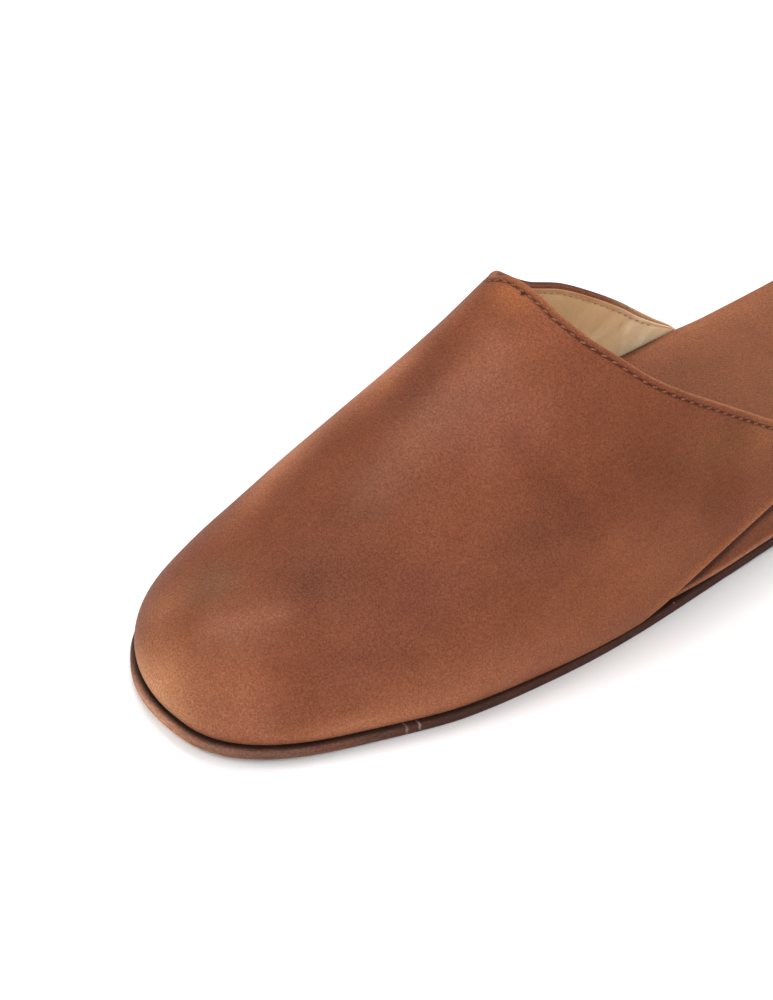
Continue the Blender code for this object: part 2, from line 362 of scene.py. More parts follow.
def raw_edge_leather(name, marks):
    """Stained sole leather: fibres in thin layers along the edge, and a matt, dusty face."""
    material, tree, shader, place, tone = new_leather(name)
    layers = add_node(tree, "Mapping", {"Vector": place, "Scale": (160.0, 160.0, 1500.0)})
    fibre = noise(tree, layers.outputs["Vector"], scale=1.0, detail=4.0, roughness=0.65)
    stain = noise(tree, place, scale=90.0, detail=4.0, roughness=0.6)
    pits = noise(tree, place, scale=1500.0, detail=3.0, roughness=0.7)
    colour = tinted(tree, ranged(tree, stain, 0.42, 0.66), tone, (1.25, 1.06, 0.96))
    colour = tinted(tree, ranged(tree, fibre, 0.42, 0.72, 0.0, 0.8), colour, (0.55, 0.48, 0.45))
    colour = tinted(tree, ranged(tree, pits, 0.46, 0.64), colour, (1.6, 1.5, 1.45))
    for mark in marks:
        colour = marked(tree, place, colour, *mark)
    tree.links.new(colour, shader.inputs["Base Color"])
    shader.inputs["Roughness"].default_value = 0.8
    shader.inputs["Specular IOR Level"].default_value = 0.25
    raise_relief(tree, shader, added(tree, fibre, pits), strength=0.9, depth=0.0003)
    return material


def raw_cut(ring):
    """Ring drawn inwards here and there, as the raw cut of the edge wanders."""
    turn = np.linspace(0.0, 2.0 * math.pi, len(ring), endpoint=False)
    wave = sum(share * np.sin(waves * turn + phase) for waves, phase, share in RAW_EDGE_WAVES)
    depth = RAW_EDGE_WANDER * wave / sum(share for _, _, share in RAW_EDGE_WAVES)
    away = (ring - np.array([0.0, SHOE_LENGTH / 2.0, 0.0])) * np.array([1.0, 1.0, 0.0])
    away /= np.linalg.norm(away, axis=1, keepdims=True)
    return ring - away * np.abs(depth)[:, None]


rings = []
for inset, rise in SOLE_EDGE_PROFILE:
    ring = edge_ring(lambda along: inset, lambda y: sole_bottom(y) + rise)
    rings.append(raw_cut(ring) if inset < RAW_EDGE_WIDTH else ring)
sole_points = np.concatenate(rings)
sole_faces = ring_faces(len(rings), len(rings[0]))
inset_of_point = np.repeat([inset for inset, _ in SOLE_EDGE_PROFILE], len(rings[0]))
rise_of_point = np.repeat([rise for _, rise in SOLE_EDGE_PROFILE], len(rings[0]))
behind_toe = faded_in(sole_points[:, 1], TOE_FADE_START, TOE_FADE)
sole_tone = painted(sole_points, SOLE_TOE_TONE, SOLE_PATCHES)
# darker back from the toe: partly a darker stain, partly painted shade along the floor
sole_tone = blended(sole_tone, behind_toe, SOLE_SIDE_TONE)
# the toe's edge is lighter towards its bottom
low_pale = close_to(sole_points[:, 0], LOW_PALE_X, LOW_PALE_WIDTH) * close_to(rise_of_point, 0.0, LOW_PALE_HEIGHT)
sole_tone = blended(sole_tone, LOW_PALE_STRENGTH * (1.0 - behind_toe) * low_pale, SOLE_LOW_PALE_TONE)
# painted shade in the seam where the sole's top meets the turned-in vamp
seam_shade = faded_in(inset_of_point, SEAM_SHADE_START, SEAM_SHADE_FADE) * (rise_of_point > SEAM_SHADE_HEIGHT)
sole_tone = blended(sole_tone, seam_shade, SOLE_SEAM_SHADE_TONE)
outsole_leather = make_piece("outsole_leather", sole_points, sole_faces, sole_tone)
outsole_leather.data.materials.append(raw_edge_leather("raw_edge_sole_leather", SOLE_NICKS))
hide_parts("outsole")
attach(outsole_leather, "root")

# ---------------------------------------------------------------------------------------------
# Footbed
# A wedge of cork and foam that rises towards the heel, wrapped in the same oiled nubuck as the
# upper. The cover is drawn tight over a rounded edge and glued under against the sole.
# ---------------------------------------------------------------------------------------------
GLUE_GAP = 0.32
FOOTBED_SECTIONS = (
    # from toe, top height, inset
    (0.0, 10.6, 5.8),
    (60.0, 12.6, 5.0),
    (107.0, 14.9, 3.9),
    (122.0, 15.9, 3.3),
    (140.0, 17.0, 1.4),
    (158.0, 18.2, 0.5),
    (213.0, 21.4, 0.5),
    (290.0, 25.6, 0.5),
)
FOOTBED_LEAN = 1.7
FOOTBED_LEAN_POWER = 1.6
FOOTBED_EDGE_RADIUS = 4.2
FOOTBED_EDGE_STEPS = 9
FOOTBED_SIDE_STEPS = 18
FOOTBED_DISH = 0.8
FOOTBED_DISH_WIDTH = 15.0
FOOTBED_DISH_STEPS = 5
FOOTBED_BELLY = 0.30  # how far the padding pushes the cover out at mid height
WING_UNDERSIDE = (
    # from toe, height of the wing's lower edge on the lateral side, on the medial side
    (121.0, 3.0, 3.0),
    (135.0, 7.7, 6.5),
    (150.0, 11.6, 9.9),
    (175.0, 17.3, 15.0),
    (195.0, 18.8, 16.7),
    (217.0, 17.3, 17.3),
)
WING_PRESS = {1: 1.05, -1: 0.72}  # how far the cover swells against the inside of each wing
WING_START = 118.0  # where both wings start, from the toe
WING_START_FADE = 10.0
WING_TIP = {1: 205.0, -1: 216.0}  # where each wing ends, from the toe
WING_TIP_REACH = 5.0  # how far past its tip a wing still presses on the cover
WING_TIP_FADE = 9.0
SWELL_DROP = 2.2  # the swell starts this far below the wing's lower edge
SWELL_FADE = 1.8
SWELL_EDGE_SHARE = 0.45  # share of the rounded edge in which the swell dies out
SHADE_DROP = 4.9  # the shade under a wing reaches this far below its lower edge
SHADE_FADE = 1.4
SHADE_TIP_FADE = 14.0
SHADE_STRENGTH = 0.88
EDGE_HIGHLIGHT_HEIGHT = 0.9  # height of the painted highlight along the cover's lower edge, by the sole
EDGE_HIGHLIGHT_STRENGTH = 0.75
PEBBLE_WANDER = 0.0022  # in metres, how far the nubuck's pebbles are drawn out of line
FOOTBED_TONE = (124, 73, 47)
FOOTBED_SHADE_TONE = (44, 20, 13)
FOOTBED_HIGHLIGHT_TONE = (196, 134, 100)
FOOTBED_PATCHES = (
    # x, from toe, height, reach, colour, strength; the first is a painted highlight on the medial rounded
    # edge, the last painted shade on the wrap's lateral side
    (-34.0, 215.0, 21.0, (9, 60, 8), (164, 106, 74), 0.60),
    (20.0, 175.0, 20.0, (30, 30, 8), (118, 72, 47), 0.60),
    (44.0, 165.0, 7.0, (6, 50, 5), (112, 62, 40), 0.70),
)
footbed_top = curve(FOOTBED_SECTIONS, 1)
footbed_inset = curve(FOOTBED_SECTIONS, 2)
wing_underside = {1: curve(WING_UNDERSIDE, 1), -1: curve(WING_UNDERSIDE, 2)}


def footbed_base(along):
    """Height of the footbed's underside, on the sole."""
    return sole_bottom(along) + SOLE_THICKNESS + GLUE_GAP


def footbed_ring(extra_inset, share, drop):
    """Ring at a share of the side's height, or at a drop below the top."""
    def height(y):
        base = footbed_base(y)
        return base + (footbed_top(y) - drop - base) * share
    return edge_ring(lambda along: footbed_inset(along) + extra_inset, height)


def nubuck(name, cloud, pebble_depth, marks=()):
    """Oiled nubuck: a painted tone, slow clouds, and a fine pebble grain with darker valleys."""
    material, tree, shader, place, tone = new_leather(name)
    slow = noise(tree, place, scale=45.0, detail=3.0, roughness=0.55, distortion=0.5)
    patchy = noise(tree, place, scale=170.0, detail=4.0, roughness=0.6)
    grain = noise(tree, place, scale=2100.0, detail=3.0, roughness=0.8)
    wander = noise(tree, place, scale=420.0, detail=2.0, output="Color")
    shift = {0: wander, 1: (PEBBLE_WANDER, PEBBLE_WANDER, PEBBLE_WANDER), 2: place}
    uneven = add_node(tree, "VectorMath", shift, operation="MULTIPLY_ADD").outputs["Vector"]
    cells = add_node(tree, "TexVoronoi", {"Vector": uneven, "Scale": 780.0}, feature="DISTANCE_TO_EDGE")
    pebble = cells.outputs["Distance"]
    colour = tinted(tree, ranged(tree, slow, 0.36, 0.66, 0.0, cloud), tone, (0.84, 0.78, 0.74))
    colour = tinted(tree, ranged(tree, patchy, 0.42, 0.70, 0.0, 0.5), colour, (1.14, 1.12, 1.10))
    light_grain, dark_grain = (1.17, 1.18, 1.20, 1.0), (0.72, 0.69, 0.67, 1.0)
    grained = mixed(tree, ranged(tree, grain, 0.40, 0.60), light_grain, dark_grain)
    colour = mixed(tree, 1.0, colour, grained, "MULTIPLY")
    valley = ranged(tree, pebble, 0.0, 0.16, pebble_depth, 0.0)
    colour = tinted(tree, valley, colour, (0.76, 0.71, 0.68))
    for mark in marks:
        colour = marked(tree, place, colour, *mark)
    tree.links.new(colour, shader.inputs["Base Color"])
    tree.links.new(ranged(tree, grain, 0.3, 0.7, 0.50, 0.66), shader.inputs["Roughness"])
    shader.inputs["Specular IOR Level"].default_value = 0.11
    shader.inputs["Sheen Weight"].default_value = 0.035
    shader.inputs["Sheen Roughness"].default_value = 0.40
    shader.inputs["Sheen Tint"].default_value = (1.0, 0.80, 0.66, 1.0)
    rounded = ranged(tree, pebble, 0.0, 0.22)
    raise_relief(tree, shader, added(tree, rounded, grain), strength=0.7, depth=0.00012)
    return material


rings = []
for step in range(FOOTBED_SIDE_STEPS):
    share = step / FOOTBED_SIDE_STEPS
    belly = FOOTBED_BELLY * math.sin(math.pi * share) if share else 0.0
    lean = FOOTBED_LEAN * (1.0 - (1.0 - share) ** FOOTBED_LEAN_POWER)
    rings.append(footbed_ring(lean - belly, share, FOOTBED_EDGE_RADIUS))
for step in range(FOOTBED_EDGE_STEPS + 1):
    turn = 0.5 * math.pi * step / FOOTBED_EDGE_STEPS
    drop = FOOTBED_EDGE_RADIUS * (1.0 - math.sin(turn))
    rings.append(footbed_ring(FOOTBED_LEAN + FOOTBED_EDGE_RADIUS * (1.0 - math.cos(turn)), 1.0, drop))
for step in range(1, FOOTBED_DISH_STEPS + 1):
    share = step / FOOTBED_DISH_STEPS
    dish = FOOTBED_DISH * (share * share * (3.0 - 2.0 * share))
    rings.append(footbed_ring(FOOTBED_LEAN + FOOTBED_EDGE_RADIUS + FOOTBED_DISH_WIDTH * share, 1.0, dish))
footbed_points = np.concatenate(rings)
footbed_faces = ring_faces(len(rings), len(rings[0]))
ring_number = np.repeat(np.arange(len(rings)), len(rings[0]))
last_side_ring = FOOTBED_SIDE_STEPS + FOOTBED_EDGE_STEPS
on_side = faded_in(last_side_ring - ring_number, 0.0, SWELL_EDGE_SHARE * FOOTBED_EDGE_STEPS)
under_wing = np.zeros(len(footbed_points))
along, height = footbed_points[:, 1], footbed_points[:, 2]
for side in (1, -1):
    here = footbed_points[:, 0] * side > 0.0
    edge = wing_underside[side](along)
    beside_wing = faded_in(along, WING_START, WING_START_FADE)
    beside_wing *= faded_in(WING_TIP[side] + WING_TIP_REACH - along, 0.0, WING_TIP_FADE)
    behind_wing = faded_in(height - edge, -SWELL_DROP, SWELL_FADE)
    low = close_to(np.maximum(edge - height - SHADE_DROP, 0.0), 0.0, SHADE_FADE)
    low *= faded_in(WING_TIP[side] - along, 0.0, SHADE_TIP_FADE)
    under_wing = np.where(here, beside_wing * on_side * low, under_wing)
    footbed_points[:, 0] += here * side * WING_PRESS[side] * beside_wing * on_side * behind_wing
# painted highlight along the cover's lower edge, just above the sole
edge_highlight = EDGE_HIGHLIGHT_STRENGTH * close_to(height - footbed_base(along), 0.0, EDGE_HIGHLIGHT_HEIGHT)
footbed_tone = painted(footbed_points, FOOTBED_TONE, FOOTBED_PATCHES)
footbed_tone = blended(footbed_tone, SHADE_STRENGTH * under_wing, FOOTBED_SHADE_TONE)
footbed_tone = blended(footbed_tone, edge_highlight, FOOTBED_HIGHLIGHT_TONE)
footbed_cover = make_piece("footbed_cover", footbed_points, footbed_faces, footbed_tone)
footbed_cover.data.materials.append(nubuck("footbed_nubuck", cloud=0.5, pebble_depth=0.30))
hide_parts("footbed")
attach(footbed_cover, "root")

# ---------------------------------------------------------------------------------------------
# Vamp
# One cut of oiled nubuck, lasted over the forefoot and turned in against the sole. A wing runs
# back along each side of the footbed, and the topline is folded over and stitched down.
# ---------------------------------------------------------------------------------------------
VAMP_SECTIONS = (
    # from toe, inset from the sole's edge, lateral fullness, medial fullness
    (0.0, 0.4, 2.2, 2.2),
    (64.0, -0.6, 2.0, 1.85),
    (128.0, -1.6, 2.0, 1.33),
    (170.0, -1.6, 1.85, 1.4),
    (217.0, -1.6, 1.55, 1.55),
)
RIDGE_FULLNESS = 2.1
VAMP_RIDGE = (
    # from toe, sideways place, height
    (0.0, -5.2, 24.5),
    (16.0, -5.8, 25.5),
    (32.0, -6.4, 29.0),
    (48.0, -7.0, 37.5),
    (64.0, -7.3, 48.3),
    (80.0, -6.9, 58.0),
    (96.0, -6.2, 67.4),
    (112.0, -5.5, 77.0),
    (126.0, -5.1, 85.6),
    (160.0, -6.3, 100.0),
    (217.0, -8.6, 117.0),
)
TOE_FAN = 40.5
TOE_FAN_POWER = 3.0
FEATHER_TUCK = 1.9
FEATHER_TUCK_HEIGHT = 8.5
WALL = 2.2
TOPLINE = (
    # turn round the vamp's section, lateral from toe, medial from toe
    (11.5, 205.5, 217.0),
    (14.0, 198.0, 213.0),
    (17.0, 190.0, 207.0),
    (21.0, 180.5, 199.5),
    (26.0, 168.5, 190.5),
    (32.0, 156.0, 179.0),
    (39.0, 144.0, 165.5),
    (47.0, 134.5, 149.5),
    (56.0, 128.0, 138.0),
    (66.0, 123.0, 129.0),
    (77.0, 121.0, 121.5),
    (90.0, 121.0, 121.0),
)
WING_EDGE = (
    # from toe, lateral turn, medial turn
    (121.0, 0.0, 0.0),
    (128.0, 1.6, 4.2),
    (137.0, 3.5, 7.3),
    (150.0, 5.6, 9.8),
    (165.0, 7.8, 11.4),
    (178.0, 9.6, 12.4),
    (192.0, 10.8, 12.3),
    (206.0, 11.4, 12.0),
    (217.0, 11.5, 11.5),
)
VAMP_COLUMNS = 92
COLUMN_CROWDING = 1.25
VAMP_ROWS_TOE = 34
VAMP_ROWS_BACK = 104
EDGE_BAND = 6.0  # width of the strip along the topline that has its own rows
BAND_STEPS = 30
TOPLINE_SAMPLES = 400
FOLDED_EDGE = (
    # distance from the topline, depth under the vamp's face: groove, bead, fold and turn-in
    (6.0, 0.00), (5.0, 0.00), (4.2, 0.00), (3.6, 0.02), (3.1, 0.06), (2.75, 0.16), (2.5, 0.33),
    (2.3, 0.43), (2.1, 0.40), (1.9, 0.22), (1.7, 0.04), (1.4, -0.05), (1.0, -0.02),
    (0.65, 0.12), (0.35, 0.34), (0.15, 0.62), (0.0, 1.05), (0.15, 1.50), (0.35, 1.80),
    (0.65, 1.98), (1.0, 2.06), (1.3, 2.10), (1.6, 2.16), (1.9, 2.24),
)
GROOVE_END = 12  # last of those rows on the outer face
FOLD_TOP = 16  # the row at the very edge of the fold
STITCH_ROW = 2.3
RIDGE_TURN = 90.0  # turn round the section, from the feather line up to the ridge
FACE_STEP = 0.05  # step over which the slopes of the vamp's face are measured
TOPLINE_FINE_SAMPLES = 6000
WING_EDGE_SAMPLES = 700
WING_EDGE_FROM = 100.0
BAND_SHARE = 0.45  # most that the edge band takes of a narrow wing
TURN_UNDER_STEPS = 6
TURN_UNDER_BULGE = 0.3
WING_RIM_HIGHLIGHT = (
    # distance from the wing's lower edge, spread, strength, colour of the painted highlight
    (3.0, 2.8, 0.50, (158, 94, 54)),
    (0.5, 1.1, 0.70, (172, 106, 64)),
)
VAMP_FOLDS = (
    # start and end (x, from toe, height), half width, depth: soft troughs, and ridges below zero
    ((-20.0, 56.0, 40.0), (-11.0, 98.0, 69.0), 7.0, 0.35),
    ((4.0, 66.0, 48.0), (3.0, 106.0, 72.0), 8.0, -0.25),
    ((22.0, 96.0, 58.0), (42.0, 104.0, 38.0), 5.0, 0.25),
    ((-4.0, 18.0, 21.0), (8.0, 31.0, 27.0), 3.2, -0.22),
    ((24.0, 33.0, 21.0), (37.0, 52.0, 20.0), 3.4, 0.22),
    ((10.0, 44.0, 33.0), (27.0, 62.0, 34.0), 4.5, 0.18),
    ((40.0, 124.0, 52.0), (45.0, 150.0, 26.0), 5.0, 0.22),
)
VAMP_TONE = (123, 69, 45)
FOLD_SHADE_TONE = (88, 44, 28)
FOLD_HIGHLIGHT_TONE = (176, 118, 90)
FOLD_SHADING_STRENGTH = 0.9
TURN_UNDER_SHADE_TONE = (52, 28, 19)  # painted shade on the raw lower edge, where it turns under
TOPLINE_BANDS = (
    # distance from the topline, spread, strength, colour: a painted highlight on the bead and painted
    # shade in the stitch groove
    (0.2, 0.50, 0.8, (162, 102, 64)),
    (STITCH_ROW, 0.36, 0.9, (74, 37, 24)),
)
WING_HIGHLIGHT_START = 85.0  # the painted highlight along each wing's lower edge grows from here back
WING_HIGHLIGHT_FADE = 45.0
INNER_RIM_START = 130.0  # the medial topline has a darker rim from here back
INNER_RIM_FADE = 16.0
INNER_RIM_STRENGTH = 0.9
INNER_RIM_PALE_START = 182.0  # where that rim turns pale
INNER_RIM_PALE_FADE = 20.0
DARK_RIM_TONE = (70, 38, 28)
TURN_IN_TONE = (140, 84, 58)
PALE_RIM_TONE = (204, 160, 122)
# place, reach, colour and strength of one dark stitch hole at the throat
PULLED_STITCH = ((-1.0, 120.0, 82.0), (0.8, 0.8, 0.8), (30, 12, 8), 0.95)
VAMP_PATCHES = (
    # x, from toe, height, reach, colour, strength; the pale patches along the medial side are painted
    # sheen, and the pale ones low at the toe and along the lateral feather line are painted light thrown
    # up by the floor
    (8.0, 43.0, 33.0, (18, 15, 12), (106, 61, 43), 0.85),
    (29.0, 58.0, 31.0, (10, 18, 9), (112, 63, 46), 0.75),
    (5.0, 65.0, 48.0, (10, 14, 10), (98, 56, 41), 0.85),
    (30.0, 36.0, 19.0, (9, 10, 6), (118, 67, 49), 0.60),
    (7.0, 90.0, 62.0, (10, 15, 11), (121, 74, 58), 0.80),
    (20.0, 97.0, 60.0, (9, 12, 9), (142, 86, 66), 0.60),
    (11.0, 117.0, 77.0, (8, 7, 6), (140, 82, 56), 0.80),
    (-3.0, 118.0, 82.0, (9, 5, 5), (156, 94, 58), 0.90),
    (31.0, 117.0, 62.0, (8, 11, 9), (113, 62, 42), 0.50),
    (39.0, 91.0, 39.0, (9, 16, 9), (107, 62, 44), 0.70),
    (43.0, 112.0, 30.0, (8, 10, 8), (133, 78, 52), 0.60),
    (41.0, 126.0, 45.0, (8, 12, 12), (112, 61, 37), 0.70),
    (43.0, 152.0, 32.0, (7, 16, 13), (112, 58, 29), 0.85),
    (40.0, 156.0, 42.0, (7, 18, 6), (114, 68, 37), 0.70),
    (41.0, 170.0, 38.0, (6, 9, 6), (140, 86, 54), 0.70),
    (-28.0, 66.0, 38.0, (7, 20, 11), (180, 116, 82), 0.90),
    (-4.0, 88.0, 61.0, (8, 14, 8), (100, 58, 41), 0.65),
    (-18.0, 92.0, 61.0, (5, 16, 8), (176, 113, 78), 0.70),
    (-26.0, 95.0, 56.0, (7, 20, 11), (180, 116, 82), 0.90),
    (-18.0, 110.0, 73.0, (6, 8, 8), (144, 86, 58), 0.70),
    (2.0, 20.0, 23.0, (9, 9, 7), (132, 83, 61), 0.80),
    (14.0, 13.0, 18.0, (8, 7, 7), (148, 90, 62), 0.70),
    (-22.0, 18.0, 19.0, (8, 8, 8), (152, 98, 68), 0.75),
    (-15.0, 27.0, 26.0, (8, 8, 6), (116, 80, 58), 0.80),
    (-6.0, 3.0, 12.0, (18, 9, 8), (170, 114, 80), 0.95),
    (-12.0, 2.0, 7.0, (22, 7, 5), (204, 146, 104), 0.85),
    (20.0, 8.0, 11.0, (14, 10, 8), (144, 90, 66), 0.80),
    (38.0, 40.0, 6.0, (16, 32, 4), (172, 113, 82), 0.80),
    (44.0, 75.0, 9.0, (12, 46, 9), (142, 87, 61), 0.85),
    (48.0, 118.0, 18.0, (8, 24, 9), (134, 78, 48), 0.80),
)
vamp_inset = curve(VAMP_SECTIONS, 1)
fullness = {1: curve(VAMP_SECTIONS, 2), -1: curve(VAMP_SECTIONS, 3)}
ridge_x = curve(VAMP_RIDGE, 1)
ridge_height = curve(VAMP_RIDGE, 2)
topline_place = {1: curve(TOPLINE, 1), -1: curve(TOPLINE, 2)}
wing_turn = {1: curve(WING_EDGE, 1), -1: curve(WING_EDGE, 2)}


def vamp_face(side, station, turn):
    """Outer face of the vamp: a place on the feather line and the turn from there up to the ridge."""
    station = np.maximum(station, 0.0)
    angle = np.radians(np.clip(turn, 0.0, RIDGE_TURN))
    foot_x, foot_y = inset_point(side, station, vamp_inset(station))
    crown_y = (station ** TOE_FAN_POWER + TOE_FAN ** TOE_FAN_POWER) ** (1.0 / TOE_FAN_POWER)
    crown_x = ridge_x(crown_y)
    out = np.maximum(np.cos(angle), 0.0) ** (2.0 / RIDGE_FULLNESS)
    rise = np.sin(angle) ** (2.0 / fullness[side](station))
    x = crown_x + (foot_x - crown_x) * out
    y = crown_y + (foot_y - crown_y) * out
    base = footbed_base(foot_y)
    height = base + (ridge_height(y) - base) * rise
    tuck = np.maximum(1.0 - (height - base) / FEATHER_TUCK_HEIGHT, 0.0)
    aside, forward = inward(side, station)
    shift = FEATHER_TUCK * tuck * tuck
    return np.stack([x + aside * shift, y + forward * shift, height], axis=-1)


def unit(vectors):
    """Vectors brought to length one."""
    return vectors / np.maximum(np.linalg.norm(vectors, axis=-1, keepdims=True), 1e-12)


def slopes_of_face(side, station, turn):
    """How a point of the face moves with its station and with its turn."""
    low = np.maximum(turn - FACE_STEP, 0.0)
    high = np.minimum(turn + FACE_STEP, RIDGE_TURN)
    ahead = vamp_face(side, station + FACE_STEP, turn)
    behind = vamp_face(side, station - FACE_STEP, turn)
    by_turn = (vamp_face(side, station, high) - vamp_face(side, station, low)) / (high - low)[..., None]
    return (ahead - behind) / (2.0 * FACE_STEP), by_turn


def steps_on_face(by_station, by_turn, move):
    """Changes of station and of turn that carry points of the face through a move."""
    aa = np.sum(by_station * by_station, axis=1)
    ab = np.sum(by_station * by_turn, axis=1)
    bb = np.sum(by_turn * by_turn, axis=1)
    am = np.sum(by_station * move, axis=1)
    bm = np.sum(by_turn * move, axis=1)
    span = aa * bb - ab * ab
    return (am * bb - bm * ab) / span, (bm * aa - am * ab) / span


def topline_lines():
    """Lines square to the topline, from it into the vamp, for both sides.

    Gives for each side the stations and turns, one row for each step from the topline, and the
    width of the edge band there, which narrows towards the tip of the wing.
    """
    station, turn, width = {}, {}, {}
    for side in (1, -1):
        fine = np.linspace(TOPLINE[0][0], RIDGE_TURN, TOPLINE_FINE_SAMPLES)
        points = vamp_face(side, topline_place[side](fine), fine)
        length = np.concatenate([[0.0], np.cumsum(np.linalg.norm(np.diff(points, axis=0), axis=1))])
        turn[side] = np.interp(np.linspace(0.0, length[-1], TOPLINE_SAMPLES), length, fine)
        station[side] = topline_place[side](turn[side])
        lower = np.linspace(WING_EDGE_FROM, WING_EDGE[-1][0], WING_EDGE_SAMPLES)
        lower_edge = vamp_face(side, lower, wing_turn[side](lower))
        rim = vamp_face(side, station[side], turn[side])
        gap = np.min(np.linalg.norm(rim[:, None, :] - lower_edge[None, :, :], axis=2), axis=1)
        width[side] = np.minimum(EDGE_BAND, BAND_SHARE * gap)
    lines = {side: ([station[side]], [turn[side]]) for side in (1, -1)}
    for _ in range(BAND_STEPS):
        front = {side: vamp_face(side, station[side], turn[side]) for side in (1, -1)}
        joined = np.concatenate([front[1], front[-1][-2::-1]])
        heading = unit(np.gradient(joined, axis=0))
        headings = {1: heading[:TOPLINE_SAMPLES], -1: heading[TOPLINE_SAMPLES - 1:][::-1]}
        for side in (1, -1):
            by_station, by_turn = slopes_of_face(side, station[side], turn[side])
            normal = unit(np.cross(by_station, by_turn))
            inwards = unit(np.cross(normal, headings[side]))
            flip = np.where(np.sum(inwards * by_station, axis=1) > 0.0, -1.0, 1.0)
            move = inwards * flip[:, None] * (width[side] / BAND_STEPS)[:, None]
            station_step, turn_step = steps_on_face(by_station, by_turn, move)
            station[side] = station[side] + station_step
            turn[side] = np.clip(turn[side] + turn_step, 0.0, RIDGE_TURN)
            lines[side][0].append(station[side])
            lines[side][1].append(turn[side])
    return {side: (np.array(lines[side][0]), np.array(lines[side][1]), width[side]) for side in (1, -1)}


def vamp_columns(side, lines, edge_rows):
    """Points of one half, from the toe to the edge band and on to the topline, and the band's width."""
    stations, turns, width = lines[side]
    low = wing_turn[side](stations[-1])
    share_of_sample = (turns[-1] - low) / (RIDGE_TURN - low)
    share_of_sample[0] = 0.0
    share_of_sample[-1] = 1.0
    share_of_sample = np.maximum.accumulate(share_of_sample)
    shares = (np.arange(VAMP_COLUMNS + 1) / VAMP_COLUMNS) ** COLUMN_CROWDING
    sample = np.interp(shares, share_of_sample, np.arange(TOPLINE_SAMPLES))
    steps = np.arange(TOPLINE_SAMPLES)
    end = np.interp(sample, steps, stations[-1])
    toe = 1.0 - np.cos(0.5 * math.pi * np.arange(VAMP_ROWS_TOE) / VAMP_ROWS_TOE)
    back = np.arange(VAMP_ROWS_BACK) / VAMP_ROWS_BACK
    rows = [np.full_like(shares, CROWDED_TOE * t) for t in toe]
    rows += [CROWDED_TOE + (end - CROWDED_TOE) * t for t in back]
    points = []
    for row in rows:
        low = wing_turn[side](row)
        points.append(vamp_face(side, row, low + (RIDGE_TURN - low) * shares))
    for distance in edge_rows:
        place = distance / EDGE_BAND * BAND_STEPS
        below = min(int(place), BAND_STEPS - 1)
        part = place - below
        line_station = stations[below] * (1.0 - part) + stations[below + 1] * part
        line_turn = turns[below] * (1.0 - part) + turns[below + 1] * part
        station = np.interp(sample, steps, line_station)
        points.append(vamp_face(side, station, np.interp(sample, steps, line_turn)))
    return np.array(points), np.interp(sample, steps, width)


def stitched_together(lateral, medial):
    """Both halves with the toe's first row and the ridge's column shared."""
    seam = 0.5 * (lateral[0] + medial[0])
    lateral[0], medial[0] = seam, seam
    ridge = 0.5 * (lateral[:, -1] + medial[:, -1])
    lateral[:, -1], medial[:, -1] = ridge, ridge
    return lateral, medial


def shell_faces(rows, columns):
    """Vertex numbers of both halves, and quads that face out."""
    numbers = {1: np.arange(rows * columns).reshape(rows, columns)}
    medial = np.full((rows, columns), -1)
    medial[0] = numbers[1][0]
    medial[:, -1] = numbers[1][:, -1]
    free = medial < 0
    medial[free] = rows * columns + np.arange(free.sum())
    numbers[-1] = medial
    faces = []
    for side in (1, -1):
        n = numbers[side]
        quads = np.stack([n[:-1, :-1], n[1:, :-1], n[1:, 1:], n[:-1, 1:]], axis=-1).reshape(-1, 4)
        faces += [tuple(q[::side]) for q in quads]
    return numbers, faces


def face_normals(lateral, medial, numbers, faces):
    """Smooth unit normals of the joined face, one for each point of each half."""
    points = np.zeros((int(numbers[-1].max()) + 1, 3))
    points[numbers[1].ravel()] = lateral.reshape(-1, 3)
    points[numbers[-1].ravel()] = medial.reshape(-1, 3)
    quads = np.array(faces)
    square = np.cross(points[quads[:, 2]] - points[quads[:, 0]], points[quads[:, 3]] - points[quads[:, 1]])
    total = np.zeros_like(points)
    for corner in range(4):
        np.add.at(total, quads[:, corner], square)
    total = unit(total)
    return {1: total[numbers[1]], -1: total[numbers[-1]]}


edge_lines = topline_lines()
edge_rows = sorted({distance for distance, _ in FOLDED_EDGE}, reverse=True)
lateral_face, lateral_width = vamp_columns(1, edge_lines, edge_rows)
medial_face, medial_width = vamp_columns(-1, edge_lines, edge_rows)
lateral_face, medial_face = stitched_together(lateral_face, medial_face)
vamp_half = {1: lateral_face, -1: medial_face}
band_width = {1: lateral_width, -1: medial_width}
body_rows = VAMP_ROWS_TOE + VAMP_ROWS_BACK
numbers, faces = shell_faces(lateral_face.shape[0], lateral_face.shape[1])
vamp_normal = face_normals(lateral_face, medial_face, numbers, faces)


def shell(depth_of_row, rows_used, roll):
    """Points and faces of a skin at a depth under the vamp's face, rolled in along its lower edge."""
    halves = {}
    for side in (1, -1):
        face = vamp_half[side][rows_used]
        normal = vamp_normal[side][rows_used]
        skin = face - normal * depth_of_row(side)[..., None]
        if roll:
            down = unit(face[:, 0] - face[:, 1])
            rolled = []
            for step in range(TURN_UNDER_STEPS, 0, -1):
                t = step / TURN_UNDER_STEPS
                bulge = down * TURN_UNDER_BULGE * math.sin(math.pi * t)
                rolled.append((skin[:, 0] + bulge - normal[:, 0] * WALL * t)[:, None, :])
            skin = np.concatenate(rolled + [skin], axis=1)
        halves[side] = skin
    halves[1], halves[-1] = stitched_together(halves[1], halves[-1])
    numbers, faces = shell_faces(halves[1].shape[0], halves[1].shape[1])
    points = np.zeros((int(numbers[-1].max()) + 1, 3))
    for side in (1, -1):
        points[numbers[side].ravel()] = halves[side].reshape(-1, 3)
    return points, faces, numbers


